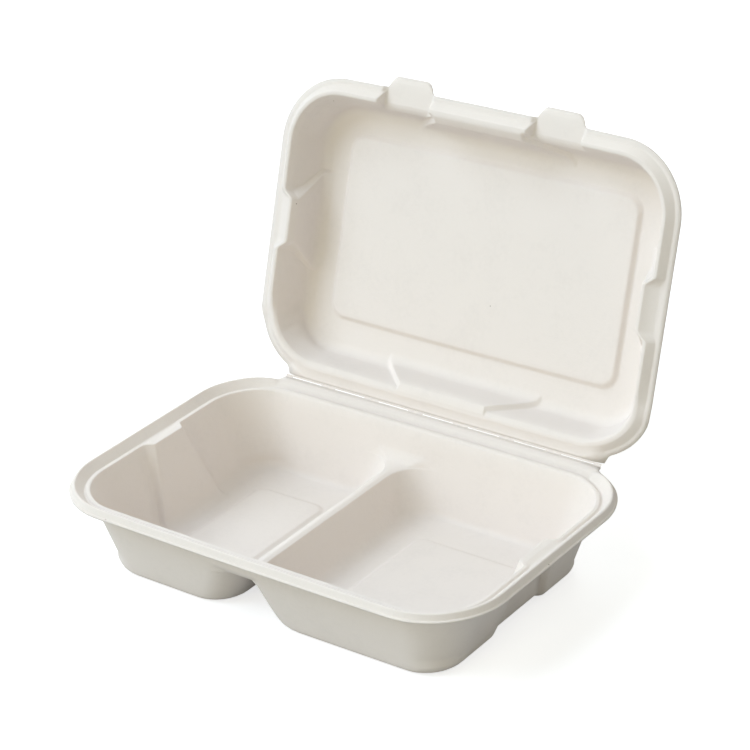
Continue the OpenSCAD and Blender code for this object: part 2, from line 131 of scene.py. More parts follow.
def smooth(t):
    t = np.clip(t, 0.0, 1.0)
    return t * t * (3.0 - 2.0 * t)


def mix(a, b, t):
    return a + (b - a) * t


def slope(degrees):
    return math.tan(math.radians(degrees))


def bowed(x, y, half_x, half_y):
    """The long sides bow out, most at their middle."""
    return y + BOW * (y / half_y) * (1.0 - (x / half_x) ** 2)


def rounded(points, radii, step=16.0):
    """A polyline of (inset, height) with its inner corners rounded, as dense points."""
    out = [points[0]]
    for a, b, c, r in zip(points, points[1:], points[2:], radii):
        a, b, c = (np.array(v, float) for v in (a, b, c))
        u = (a - b) / np.linalg.norm(a - b)
        v = (c - b) / np.linalg.norm(c - b)
        half = math.acos(np.clip(u @ v, -1, 1)) / 2
        cut = r / math.tan(half)
        p, q = b + u * cut, b + v * cut
        turn = math.degrees(math.pi - 2 * half)
        n = max(2, int(round(turn / step)))
        centre = b + (u + v) / np.linalg.norm(u + v) * (r / math.sin(half))
        a0 = math.atan2(*(p - centre)[::-1])
        a1 = math.atan2(*(q - centre)[::-1])
        d = (a1 - a0 + math.pi) % (2 * math.pi) - math.pi
        for i in range(n + 1):
            t = a0 + d * i / n
            out.append(tuple(centre + r * np.array([math.cos(t), math.sin(t)])))
    out.append(points[-1])
    return np.array(out, float)


def run_length(profile):
    return np.r_[0, np.cumsum(np.linalg.norm(np.diff(profile, axis=0), axis=1))]


def profile_marks(profile):
    d = run_length(profile)
    return d / d[-1]


def resample(profile, marks):
    """The points of a profile at the same shares of its length as the marks."""
    d = run_length(profile)
    return np.stack([np.interp(marks * d[-1], d, profile[:, k]) for k in (0, 1)], 1)


def foot_inset(foot, lean, radius, up):
    """Inset of a leaning wall at a height over the floor, rounded into the floor at its foot."""
    lean = math.radians(lean)
    if up > radius * (1 - math.sin(lean)):
        return foot - up * math.tan(lean)
    across = math.sqrt(max(0.0, radius ** 2 - (radius - up) ** 2))
    return foot + radius * math.tan((math.pi / 2 - lean) / 2) - across


def fillet_inset(foot, lean, radius, turn):
    """The same by the angle round the fillet, from 0 on the floor up to the wall."""
    lean = math.radians(lean)
    if turn < math.pi / 2 - lean:
        return foot + radius * math.tan((math.pi / 2 - lean) / 2) - radius * math.sin(turn)
    return foot - radius * (1 - math.cos(turn)) * math.tan(lean)


def ring_faces(a, b):
    n = len(a)
    return [(a[i], a[(i + 1) % n], b[(i + 1) % n], b[i]) for i in range(n)]


class Sheet:
    """Collects the points and faces of one surface."""

    def __init__(self):
        self.rows, self.faces, self.count = [], [], 0

    def add(self, points):
        ids = list(range(self.count, self.count + len(points)))
        self.rows.append(points)
        self.count += len(points)
        return ids

    def points(self):
        return np.concatenate(self.rows)


def link_mesh(name, points, faces):
    mesh = bpy.data.meshes.new(name)
    mesh.from_pydata([tuple(p) for p in points * MM], [], faces)
    mesh.validate()
    mesh.shade_smooth()
    obj = bpy.data.objects.new(name, mesh)
    bpy.context.scene.collection.objects.link(obj)
    obj.data.materials.append(fibre())
    return obj


def sheet_object(name, points, faces, node, thickness):
    """A surface made solid by its sheet's thickness, in place of a CAD node."""
    points[:, 1] += box_shift()
    obj = link_mesh(name, points, faces)
    thick = obj.modifiers.new("sheet", "SOLIDIFY")
    thick.thickness = thickness * MM
    thick.offset = -1.0
    thick.use_even_offset = False
    thick.use_quality_normals = True
    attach(obj, node)
    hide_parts(node)


def wall_end(z):
    return WALL_IN + (WALL_Z - z) * slope(END_LEAN)


def wall_long(z):
    return WALL_IN + (WALL_Z - z) * slope(LONG_LEAN)


def down_share(z):
    """0 at the ledge, 1 at the floor."""
    return float(np.clip((WALL_Z - z) / (WALL_Z - FLOOR_Z), 0, 1))


def plan_radius(z):
    return mix(WALL_TOP_R, WALL_FOOT_R, down_share(z))


def tray_profiles():
    """Rim and wall as (inset, height) from the trimmed edge in: end, long side, long side at the web."""
    h, low = HEIGHT, RIM_END_Z
    ledge = [(6.8, h - 4.3), (8.0, h - 3.2), (9.6, h - 3.1)]
    bead = [(0, h - 3.0), (1.0, h - 2.8), (1.9, h), (3.0, h)]
    end, side = (
        rounded(bead + ledge + [(foot, low)], [0.6, 0.8, 0.8, 0.8, 0.5, 0.7])
        for foot in (wall_end(low), wall_long(low)))
    web = rounded(
        [(0, h - 1.5), (1.0, h - 1.55), (3.0, h - 1.6), (5.0, h - 2.4), (6.7, h - 3.7)]
        + ledge[1:] + [(wall_long(low), low)],
        [3.0, 3.0, 1.6, 0.9, 0.5, 0.7])
    marks = profile_marks(end)
    return end, resample(side, marks), resample(web, marks)


# Stations of a row: half a long side, a corner, an end
RUN_N = 8
ARC = np.r_[np.linspace(0, 16.4, 5), np.linspace(17.4, 20.4, 4), np.linspace(25, 90, 13)]
END_N = 27
STRETCH = 2 * RUN_N + 2 * len(ARC) + END_N
BACK = np.arange(STRETCH)[::-1]
WEB_EDGE = BACK < RUN_N + 5
WEB_RISE = np.where(WEB_EDGE, 1.0, smooth((RUN_N + 12 - BACK) / 8.0))
# Stations across the divider and its flares
COLS = np.array([-0.97, -0.93, -0.86, -0.7, -0.4, 0.0, 0.4, 0.7, 0.86, 0.93, 0.97])
FADE = smooth((1.0 - np.abs(COLS)) / 0.15)
TURN = np.radians(np.linspace(0, 90, 9))
STRAIGHT_N = 9


def end_stations(hx, hy_r, w, ramp, depth):
    """The straight of an end wall from front to back, with its panel stepped in."""
    m = PANEL_BACK
    w = min(w, hy_r - ramp - m - 1.0)
    ys = np.r_[
        np.linspace(-hy_r, m - w - ramp, 5)[1:], np.linspace(m - w - ramp, m - w, 7)[1:],
        np.linspace(m - w, m + w, 9)[1:-1],
        np.linspace(m + w, m + w + ramp, 7)[:-1], np.linspace(m + w + ramp, hy_r, 5)[:-1],
    ]
    xs = hx - depth * smooth((w + ramp - np.abs(ys - m)) / ramp)
    return np.stack([xs, ys], 1)


def outer_stretch(x_in, hx, hy, r, z, panel):
    """A row round one compartment's three outer walls, from the front to the back."""
    share = down_share(z)
    w = min(mix(*PANEL_HALF, share), hy - r - 2.0)
    ramp = mix(*PANEL_RAMP, min(1.0, share * 2.0))
    a = np.radians(ARC)
    arc = np.stack([hx - r + r * np.sin(a), hy - r + r * np.cos(a)], 1)
    run = np.stack([np.linspace(x_in, hx - r, RUN_N + 1)[:-1], np.full(RUN_N, hy)], 1)
    end = end_stations(hx, hy - r, w, ramp, panel * mix(*PANEL_DEPTH, share))
    return np.concatenate([run * [1, -1], arc * [1, -1], end, arc[::-1], run[::-1]])


def ridge_stretch(x0, r, hy):
    """Divider side of a compartment, from the back wall to the front one, without its ends."""
    t = TURN[1:]
    turn = np.stack([x0 + r * (1 - np.sin(t)), hy - r * (1 - np.cos(t))], 1)
    ys = np.linspace(hy - r, r - hy, STRAIGHT_N + 1)[1:]
    straight = np.stack([np.full(STRAIGHT_N, x0), ys], 1)
    return np.concatenate([turn, straight, turn[:-1][::-1] * [1, -1]])


def lift(x, y, z):
    return np.stack([x, bowed(x, y, HALF_W, HALF_D), np.broadcast_to(z, x.shape)], 1)


def follow_web(points, first, s, z, z_web, rise=1.0, edge=slice(None)):
    """Raise a back row of the rim to the hinge web, and spread it out to the fold."""
    points[:, 2] = mix(z, z_web, rise)
    if first:
        points[edge, 1] = FOLD_Y - STRIP
    elif s < WEB_SPREAD:
        points[edge, 1] += (FOLD_Y - STRIP - HALF_D - BOW) * (1 - s / WEB_SPREAD) * 0.5


def upper_tray(sheet):
    """Rim, ledge and walls down to the divider's top. Gives the ids of the last ring."""
    rim = list(zip(*tray_profiles()))
    walls = np.linspace(RIM_END_Z, RIDGE_Z, 7)[1:]
    previous = None
    for k in range(len(rim) + len(walls)):
        on_rim = k < len(rim)
        if on_rim:
            (s, z), (s_long, _), (_, z_web) = rim[k]
            r = RIM_R - (s + s_long) / 2
            panel = smooth((s - 6.2) / 3.2)
            raised = 0.0 * COLS
        else:
            z = walls[k - len(rim)]
            s, s_long, r = wall_end(z), wall_long(z), plan_radius(z)
            panel = 1.0
            raised = GUSSET * FADE * (RIM_END_Z - z) / (RIM_END_Z - RIDGE_Z)
        hx, hy = HALF_W - s, HALF_D - s_long
        sides = []
        for side in (1, -1):
            path = outer_stretch(side * RIDGE_X + REACH, hx, hy, r, min(z, WALL_Z), panel)
            points = lift(path[:, 0], path[:, 1], z)
            if on_rim:
                follow_web(points, k == 0, s, z, z_web, WEB_RISE, WEB_EDGE)
            sides.append(points * [side, 1, 1])
        right, left = sides
        flare = []
        for sign in (1, -1):
            y = sign * (hy + raised * slope(LONG_LEAN))
            points = lift(RIDGE_X + COLS * REACH, y, z + raised)
            if on_rim and sign > 0:
                follow_web(points, k == 0, s, z, z_web)
            flare.append(points)
        ring = sheet.add(np.concatenate([right, flare[0][::-1], left[::-1], flare[1]]))
        if previous:
            sheet.faces.extend(ring_faces(previous, ring))
        previous = ring
    return previous


def compartment_rows():
    """Rows under the divider's top: height, insets at end, long side and divider, plan radius,
    share of the end wall's panel, share of the flares' radius."""
    def on_wall(z, inset):
        return z, wall_end(z), wall_long(z), inset, plan_radius(z), 1.0, 1.0

    edge = rounded([(0, RIDGE_Z), (0.95, RIDGE_Z - 0.22), (1.75, RIDGE_Z - 2.2)], [0.9], step=14)
    rows = [on_wall(RIDGE_Z, 0.0)] + [on_wall(z, inset) for inset, z in edge[1:]]
    inset, top = edge[-1]
    for z in np.linspace(top, FLOOR_Z + FLOOR_FILLET * (1 - math.cos(math.radians(62))), 7)[1:-1]:
        rows.append(on_wall(z, inset + (top - z) * slope(RIDGE_LEAN)))
    foot = 1.6 + (RIDGE_Z - 1.3 - FLOOR_Z) * slope(RIDGE_LEAN)
    for turn in np.radians(np.linspace(66, 0, 9)):
        z = FLOOR_Z + FLOOR_FILLET * (1 - math.cos(turn))
        rows.append((
            z, fillet_inset(wall_end(FLOOR_Z), END_LEAN, FLOOR_FILLET, turn),
            foot_inset(wall_long(FLOOR_Z), LONG_LEAN, LONG_FILLET, z - FLOOR_Z),
            fillet_inset(foot, RIDGE_LEAN, FLOOR_FILLET, turn),
            WALL_FOOT_R - 4.0 * math.cos(turn), 1.0, 1.0))
    step = (
        (-5.5, 0.0), (-2.2, 0.0), (-0.7, 0.04), (-0.1, 0.2), (0.5, 0.56), (1.1, 0.95),
        (1.6, 1.1), (2.6, FLOOR_PANEL_UP), (6.0, FLOOR_PANEL_UP))
    for past, up in step:
        s = FLOOR_PANEL_IN + past
        ease = smooth((s - 5.6) / 6.0)
        rows.append((
            FLOOR_Z + up, wall_end(FLOOR_Z) + s, wall_long(FLOOR_Z) + s + mix(-3.26, 5.0, ease),
            foot + s, mix(13.5, 5.0, smooth((s - 8.0) / 6.0)),
            1.0 - smooth((s - 6.0) / 4.0), mix(1.0, 0.4, smooth((s - 6.0) / 8.0))))
    return rows


def compartment(sheet, side, rim):
    """One compartment, from its part of the last ring down. Gives the divider's edge."""
    x_side = side * RIDGE_X + RIDGE_HALF
    previous = None
    for z, s_end, s_long, inset, r, panel, flare in compartment_rows():
        hx, hy = HALF_W - s_end, HALF_D - s_long
        flare_r = FLARE_R * flare
        loop = np.concatenate([
            outer_stretch(x_side + inset + flare_r, hx, hy, r, z, panel),
            ridge_stretch(x_side + inset, flare_r, hy)])
        points = lift(loop[:, 0], loop[:, 1], z) * [side, 1, 1]
        if previous:
            ids = sheet.add(points)
            faces = ring_faces(previous, ids)
            sheet.faces.extend(faces if side > 0 else [f[::-1] for f in faces])
        else:
            edge_points = points[STRETCH:]
            edge = sheet.add(edge_points)
            ids = rim + edge
        previous = ids
    sheet.faces.append(tuple(previous[::side]))
    return edge, edge_points


def divider_top(sheet, last, rim_r, rim_l, right, left):
    """The divider's top, row by row from the back wall to the front one."""
    n = len(COLS)
    ids_r, points_r = right
    ids_l, points_l = left
    rows = [[rim_l[-1]] + last[STRETCH:STRETCH + n][::-1] + [rim_r[-1]]]
    crown = 0.35 * (1 - COLS ** 2)
    hy = HALF_D - wall_long(RIDGE_Z)
    for id_r, id_l, at_r, at_l in zip(ids_r, ids_l, points_r, points_l):
        away = hy + BOW - abs(at_r[1])
        up = np.interp(away, [0, 0.3, 1.1, 2.4, 4.25, 6.0], [GUSSET, 3.5, 2.1, 0.9, 0.12, 0]) * FADE
        points = mix(at_l[None], at_r[None], ((COLS + 1) / 2)[:, None])
        points[:, 2] += crown * min(1.0, away / 6.0) + up
        rows.append([id_l] + sheet.add(points) + [id_r])
    rows.append([rim_l[0]] + last[2 * STRETCH + n:] + [rim_r[0]])
    for a, b in zip(rows, rows[1:]):
        sheet.faces.extend([(b[i], b[i + 1], a[i + 1], a[i]) for i in range(len(a) - 1)])


def tray_mesh():
    sheet = Sheet()
    last = upper_tray(sheet)
    rim_r = last[:STRETCH]
    rim_l = last[STRETCH + len(COLS):2 * STRETCH + len(COLS)][::-1]
    right = compartment(sheet, 1, rim_r)
    left = compartment(sheet, -1, rim_l)
    divider_top(sheet, last, rim_r, rim_l, right, left)
    return sheet.points(), sheet.faces


def lid_profiles():
    """(inset, height towards the tray) of the flange, nose and upper wall: side, hinge, tab."""
    side = rounded(
        [(0, 0), (2.8, 0), (5.9, 3.45), (7.6, 3.45), (9.3, 0), (10.4, -3.6)],
        [1.2, 0.9, 1.1, 2.5])
    hinge = rounded(
        [(0, 0), (4.3, 0), (6.9, 0.95), (8.9, 0.95), (10.6, -0.7), (11.4, -3.6)],
        [1.6, 1.6, 1.4, 2.0])
    tab = rounded(
        [(-5.4, -3.4), (-2.0, -2.2), (2.2, TAB_Q), (7.4, -2.1), (9.2, -2.5), (10.4, -3.6)],
        [1.0, 2.0, 2.0, 1.2])
    marks = profile_marks(side)
    return side, resample(hinge, marks), resample(tab, marks)


# Stations of a lid row: half a long side at the rim and at the wall's foot, and a corner.
# They crowd at the tabs' ends and at the creases of the long walls' panels.
TAB_END = np.array([0.2, 0.8, 1.3, 1.8, 2.3, 2.9, 3.5, 4.4, 5.6, 7.2, 10.0])
RIM_CREASE = 24.0
TOP_CREASE = 42.5
RIM_X = np.r_[
    np.linspace(0, 20, 5), 22.5, 23.3, 23.8, 24.3, 24.8, 25.2,
    TAB_X - TAB_HALF + TAB_END, TAB_X, (TAB_X + TAB_HALF - TAB_END)[::-1],
    TAB_X + TAB_HALF + 0.6, TAB_X + TAB_HALF + 3.0]
TOP_X = np.r_[
    np.linspace(0, TOP_CREASE - 4, 5), TOP_CREASE + np.array([-1.2, 0, 0.45, 0.9, 1.35, 2.0]),
    np.linspace(TOP_CREASE + 3.4, TOP_CREASE + 24, 25)]
LONG_N = len(RIM_X)
LID_ARC = np.r_[np.linspace(0, 23.0, 6), np.linspace(24, 27, 4), np.linspace(32, 90, 13)]

TAB_SHARE = smooth((TAB_HALF - 0.8 - np.abs(RIM_X - TAB_X)) / 2.2)
TAB_OUT = np.clip((TAB_HALF - 3.2 - np.abs(RIM_X - TAB_X)) / 4.6, 0, 1)
TAB_REACH = np.where(TAB_OUT > 0, 1 - (1 - TAB_OUT) ** 2.2, 0)

# A row of the lid: its number on the rim's profiles or None, inset, height, (inset, height) at
# the hinge and at a tab, plan radius, share of the depth, shares of the long and end panels,
# shift to the front
LidRow = namedtuple("LidRow", "k s q hinge tab r deep long_panel end_panel shift")


def lid_rows():
    side, hinge, tab = lid_profiles()
    rows = []
    for k, ((s, q), back, lip) in enumerate(zip(side, hinge, tab)):
        rows.append(LidRow(
            k, s, q, back, lip, LID_R - s, max(0.0, -q / LID_DEPTH),
            smooth((s - 6.6) / 3.0), smooth((s - 1.8) / 3.0), 0.0))

    def below(s, q, r=None, panel=1.0, shift=0.0, tighter=0.0):
        deep = min(1.0, -q / LID_DEPTH)
        if r is None:
            r = mix(LID_R - side[-1][0], 22.0, deep) - tighter
        hinge_s = s + min(1.0, (1.0 - deep) / 0.8)
        rows.append(LidRow(None, s, q, (hinge_s, q), None, r, deep, panel, panel, shift))

    s0, q0 = side[-1]
    foot = s0 + (LID_DEPTH + q0) * slope(LID_LEAN)
    for q in np.linspace(q0, -LID_DEPTH + LID_FILLET * (1 - math.cos(math.radians(70))), 6)[1:-1]:
        below(s0 + (q0 - q) * slope(LID_LEAN), q)
    for turn in np.radians(np.linspace(73, 0, 9)):
        below(
            fillet_inset(foot, LID_LEAN, LID_FILLET, turn),
            -LID_DEPTH + LID_FILLET * (1 - math.cos(turn)), tighter=4.0 * math.cos(turn))
    step = (
        (-4.0, 0), (-1.7, 0.02), (-1.1, 0.13), (-0.6, 0.42), (0, 1.0), (0.6, 1.58), (1.1, 1.87),
        (1.7, 1.98), (3.2, TOP_PANEL_UP), (7.0, TOP_PANEL_UP))
    for past, up in step:
        s = TOP_PANEL_IN + past
        below(
            s, -LID_DEPTH + up, mix(18.0, 7.5, smooth((s - 18.0) / 12.0)),
            1.0 - smooth((past + 6.0) / 4.0), 2.1 * smooth((s - 19.0) / 10.0))
    return rows


def tab_stations(row, y, q):
    """Blend a front row of the rim into the tabs."""
    s_tab, q_tab = row.tab
    reach = np.full(LONG_N, s_tab)
    if s_tab < 2.0:
        root = np.interp(row.k, [0, 3, 9], [0.0, 1.2, 2.0])
        reach = mix(root, s_tab, TAB_REACH)
    if s_tab < -2.0:
        q_tab = mix(TAB_Q, q_tab, smooth(TAB_REACH))
    return mix(y, LID_HALF_D - reach, TAB_SHARE), mix(q, q_tab, TAB_SHARE)


def lid_quarter(row, front):
    """Long side, corner and end of a row on the +X side, in the front or the hinge half."""
    s, q, r, deep = row.s, row.q, row.r, row.deep
    hx, hy = LID_HALF_W - s, LID_HALF_D - s
    fit = min(1.0, (hx - r - 1.0) / TOP_X[-1])
    x = mix(RIM_X, TOP_X * fit, deep)
    crease, ramp = mix(RIM_CREASE, TOP_CREASE * fit, deep), mix(1.2, 1.7, deep)
    dent = 2.5 * row.long_panel * smooth((crease + ramp - x) / ramp)
    long_y, long_q = hy - dent, np.full(LONG_N, q)

    a = np.radians(LID_ARC)
    arc_x, arc_y = hx - r + r * np.sin(a), hy - r + r * np.cos(a)
    arc_q = np.full(len(a), q)

    half = hy - r
    w = mix(9.2, 22.5, min(1.0, deep * 1.15))
    ramp = mix(5.4, 2.2, min(1.0, deep * 3.0))
    w = min(w + (2 * NOTCH_AHEAD if front else -NOTCH_AHEAD), half - ramp - 1.0)
    end_y = np.r_[
        np.linspace(half, w + ramp, 6)[1:], np.linspace(w + ramp, w, 9)[1:],
        np.linspace(w, 0, 5)[1:-1]]
    notch = mix(4.8, 2.4, min(1.0, deep / 0.8)) * row.end_panel
    end_x = hx - notch * smooth((w + ramp - end_y) / ramp)
    end_q = np.full(len(end_y), q)

    if front and row.tab is not None:
        long_y, long_q = tab_stations(row, long_y, q)
    if not front:
        s_hinge, q_hinge = row.hinge
        long_y, long_q = LID_HALF_D - s_hinge - dent, np.full(LONG_N, q_hinge)
        back = HINGE_BACK * (1.0 - deep) * smooth((72.0 - LID_ARC) / 45.0)
        arc_y = arc_y - mix(back, s_hinge - s, smooth((15.0 - LID_ARC) / 14.0))
        # the nose sinks before the corner, clear of the tray's ledge when the lid is shut
        arc_q = mix(q, q_hinge, smooth((7.0 + r * (math.pi / 2 - a)) / 13.0))
        end_q = mix(q, q_hinge, smooth((7.0 + end_y - half) / 13.0))
        if row.k is not None:
            # the flange lifts there, clear of the tray's bead
            lifted = smooth((LID_ARC - 14.0) / 10.0) * smooth((86.0 - LID_ARC) / 18.0)
            arc_q = arc_q - 2.1 * lifted * (1.0 - smooth((s - 2.0) / 3.8))

    x, y = np.r_[x, arc_x, end_x], np.r_[long_y, arc_y, end_y]
    out = bowed(x, y, LID_HALF_W, LID_HALF_D)
    if not front and row.k is not None:
        out = mix(y, out, smooth(s / 10.0))
    if not front and row.k == 0:
        # the first row keeps to the strip's edge as far as the web reaches
        at = np.arange(len(x)) - LONG_N - 6
        out = mix(LID_HALF_D - STRIP, out, np.interp(at, [-1, 0, 1, 2, 3], [0, 0.45, 0.78, 0.94, 1]))
    return np.stack([x, -out if front else out, np.r_[long_q, arc_q, end_q]], 1)


def lid_mesh():
    sheet = Sheet()
    mirror = [-1, 1, 1]
    previous = None
    for row in lid_rows():
        f, b = lid_quarter(row, True), lid_quarter(row, False)
        end = f[-1:] * [1, 0, 1]
        f, b, end = (t - [0, row.shift, 0] for t in (f, b, end))
        ring = sheet.add(np.concatenate([
            f, end, b[::-1], b[1:] * mirror, end * mirror, (f[1:] * mirror)[::-1]]))
        if previous:
            sheet.faces.extend([t[::-1] for t in ring_faces(previous, ring)])
        previous = ring
    sheet.faces.append(tuple(previous[::-1]))
    # so far it lies shut: x, y from its middle (hinge at +y), height towards the tray
    v = sheet.points()
    a = math.radians(OPEN)
    along = v[:, 1] - LID_HALF_D
    up = FOLD_GAP - v[:, 2]
    y = along * math.cos(a) + up * math.sin(a)
    z = up * math.cos(a) - along * math.sin(a)
    return np.stack([v[:, 0], FOLD_Y + y, FOLD_Z + z], 1), sheet.faces


def fold_mesh():
    """The bending strip along the row of slits."""
    middles = [(i - SLITS // 2) * SLIT_PITCH for i in range(SLITS)]
    slits = [(c - SLIT_HALF, c + SLIT_HALF) for c in middles]
    xs = sorted({-89.5, 89.5}.union(
        (e for slit in slits for e in slit), (float(x) for x in np.linspace(-88, 88, 45).round(2))))
    across = [-STRIP, -0.5, -0.1, 0.1, 0.5, STRIP]
    a = math.radians(OPEN)
    points = []
    for x in xs:
        for u in across:
            if u < 0:
                points.append((x, FOLD_Y + u, FOLD_TOP))
            else:
                points.append((x, FOLD_Y - u * math.cos(a), FOLD_Z + u * math.sin(a)))
    n = len(across)
    faces = []
    for i, (x0, x1) in enumerate(zip(xs, xs[1:])):
        cut = any(lo < (x0 + x1) / 2 < hi for lo, hi in slits)
        for j in range(n - 1):
            if not (cut and j == n // 2 - 1):
                k = i * n + j
                faces.append((k, k + n, k + n + 1, k + 1))
    return np.array(points), faces


def fibre_effects():
    """Mottling, specks and relief of pressed plant fibre, from the object's own coordinates."""
    tree = bpy.data.node_groups.new("Fibre mottling", "ShaderNodeTree")
    for name, kind, default in (
            ("Position", "NodeSocketVector", None), ("Depth of mottling", "NodeSocketFloat", 1.0),
            ("Amount of specks", "NodeSocketFloat", 1.0)):
        sock = tree.interface.new_socket(name, in_out="INPUT", socket_type=kind)
        if default is not None:
            sock.default_value = default
    for name in ("Shade", "Specks", "Relief"):
        tree.interface.new_socket(name, in_out="OUTPUT", socket_type="NodeSocketFloat")
    nodes, links = tree.nodes, tree.links
    gin = nodes.new("NodeGroupInput")
    gout = nodes.new("NodeGroupOutput")

    def noise(scale, detail, rough):
        n = nodes.new("ShaderNodeTexNoise")
        n.inputs["Scale"].default_value = scale
        n.inputs["Detail"].default_value = detail
        n.inputs["Roughness"].default_value = rough
        links.new(gin.outputs["Position"], n.inputs["Vector"])
        return n

    def math_node(op, a, b):
        m = nodes.new("ShaderNodeMath")
        m.operation = op
        for i, v in enumerate((a, b)):
            if isinstance(v, float):
                m.inputs[i].default_value = v
            else:
                links.new(v, m.inputs[i])
        return m.outputs[0]

    broad = noise(60.0, 2.0, 0.5)
    fine = noise(420.0, 3.0, 0.6)
    both = math_node(
        "ADD", math_node("MULTIPLY", broad.outputs["Fac"], 0.55),
        math_node("MULTIPLY", fine.outputs["Fac"], 0.45))
    centred = math_node("SUBTRACT", both, 0.5)
    links.new(math_node("MULTIPLY", centred, gin.outputs["Depth of mottling"]), gout.inputs["Shade"])
    cells = nodes.new("ShaderNodeTexVoronoi")
    cells.inputs["Scale"].default_value = 95.0
    cells.inputs["Randomness"].default_value = 1.0
    links.new(gin.outputs["Position"], cells.inputs["Vector"])
    near = nodes.new("ShaderNodeMapRange")
    near.inputs["From Min"].default_value = 0.035
    near.inputs["From Max"].default_value = 0.02
    links.new(cells.outputs["Distance"], near.inputs["Value"])
    some = nodes.new("ShaderNodeSeparateColor")
    links.new(cells.outputs["Color"], some.inputs["Color"])
    few = math_node("GREATER_THAN", some.outputs["Red"], 0.86)
    specks = math_node("MULTIPLY", near.outputs["Result"], few)
    links.new(math_node("MULTIPLY", specks, gin.outputs["Amount of specks"]), gout.inputs["Specks"])
    grain = noise(1500.0, 2.0, 0.6)
    relief = math_node(
        "ADD", math_node("MULTIPLY", fine.outputs["Fac"], 0.6),
        math_node("MULTIPLY", grain.outputs["Fac"], 0.4))
    links.new(relief, gout.inputs["Relief"])
    return tree


def fibre_material(props, group):
    mat = bpy.data.materials.new("Moulded fibre")
    mat.use_nodes = True
    nodes, links = mat.node_tree.nodes, mat.node_tree.links
    shader = nodes["Principled BSDF"]
    shader.inputs["Roughness"].default_value = props.roughness
    shader.inputs["Specular IOR Level"].default_value = 0.25
    place = nodes.new("ShaderNodeTexCoord")
    fx = nodes.new("ShaderNodeGroup")
    fx.node_tree = group
    links.new(place.outputs["Object"], fx.inputs["Position"])
    fx.inputs["Depth of mottling"].default_value = props.mottling
    ramp = nodes.new("ShaderNodeMix")
    ramp.data_type = "RGBA"
    ramp.inputs["A"].default_value = (*props.colour, 1.0)
    ramp.inputs["B"].default_value = (*[c * 0.55 for c in props.colour], 1.0)
    links.new(fx.outputs["Shade"], ramp.inputs["Factor"])
    specks = nodes.new("ShaderNodeMix")
    specks.data_type = "RGBA"
    specks.inputs["B"].default_value = (0.25, 0.2, 0.15, 1.0)
    links.new(ramp.outputs["Result"], specks.inputs["A"])
    links.new(fx.outputs["Specks"], specks.inputs["Factor"])
    links.new(specks.outputs["Result"], shader.inputs["Base Color"])
    bump = nodes.new("ShaderNodeBump")
    bump.inputs["Strength"].default_value = 0.4
    bump.inputs["Distance"].default_value = 0.0003
    links.new(fx.outputs["Relief"], bump.inputs["Height"])
    links.new(bump.outputs["Normal"], shader.inputs["Normal"])
    return mat


class MealBoxLook(bpy.types.PropertyGroup):
    colour: bpy.props.FloatVectorProperty(
        name="Fibre colour", subtype="COLOR", size=3, min=0, max=1, default=(0.773, 0.707, 0.672))
    roughness: bpy.props.FloatProperty(name="Roughness", min=0, max=1, default=0.85)
    mottling: bpy.props.FloatProperty(name="Mottling", min=0, max=1, default=0.35)


# Soft lights: name, degrees round from the front towards +X, degrees up, level, tint
COLD, COOL = (0.84, 1.0, 1.18), (0.92, 1.02, 1.09)
PLAIN, WARM = (1.0, 1.03, 0.98), (1.18, 1.12, 0.74)
LIGHTS = (
    ("key", 315, 50, 1.7, COLD),
    ("key low", 315, 20, 0.8, COOL),
    ("side back", 225, 20, 1.2, COOL),
    ("side back high", 225, 50, 0.4, PLAIN),
    ("side", 270, 50, 0.3, WARM),
    ("back", 135, 50, 0.6, PLAIN),
    ("front", 0, 20, 0.65, WARM),
    ("front right", 45, 20, 0.2, PLAIN),
    ("right", 90, 20, 0.35, PLAIN),
    ("right high", 90, 50, 0.15, WARM),
)
LIGHT_ANGLE = 40        # degrees that each light's source spans, for soft shadows
FLOOR_HALF = 6.0        # metres

# Camera: lens and film width in mm, its place as degrees round, up and rolled, its distance
# in mm, and the pixel of the tray's middle at rim level in a square picture
LENS, FILM, PIXELS = 127.4, 36.0, 750.0
CAMERA_ROUND, CAMERA_UP, CAMERA_ROLL = 37.15, 26.59, -2.99
CAMERA_AWAY = 1186.86
CENTRE_PX = (339.56, 485.28)


class MealBoxStage(bpy.types.PropertyGroup):
    key_level: bpy.props.FloatProperty(name="Key lights", min=0, default=1.0)
    fill_level: bpy.props.FloatProperty(name="Other lights", min=0, default=1.0)
    floor_glow: bpy.props.FloatProperty(name="Glow of the white floor", min=0, default=0.7)
    sky: bpy.props.FloatProperty(name="Surrounding light", min=0, default=0.03)


def box_shift():
    """How far the CAD is shifted so that the open box stands centred front to back."""
    low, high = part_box("tray")
    return high[1] / MM - (FOLD_Y - FOLD_GAP)


def fibre():
    return bpy.data.materials.get("Moulded fibre") or fibre_material(
        bpy.context.scene.meal_box_look, fibre_effects())


def towards(azimuth, elevation):
    """Unit vector by degrees round from the front towards +X, and degrees up."""
    az, el = math.radians(azimuth), math.radians(elevation)
    return Vector((math.sin(az) * math.cos(el), -math.cos(az) * math.cos(el), math.sin(el)))


class MEALBOX_OT_tray(bpy.types.Operator):
    """Build the tray with its two compartments"""
    bl_idname = "mealbox.tray"
    bl_label = "Tray"

    def execute(self, context):
        sheet_object("tray_sheet", *tray_mesh(), "tray", TRAY_SHEET)
        return {"FINISHED"}


class MEALBOX_OT_lid(bpy.types.Operator):
    """Build the lid with its locking tabs"""
    bl_idname = "mealbox.lid"
    bl_label = "Lid"

    def execute(self, context):
        sheet_object("lid_sheet", *lid_mesh(), "lid", LID_SHEET)
        return {"FINISHED"}


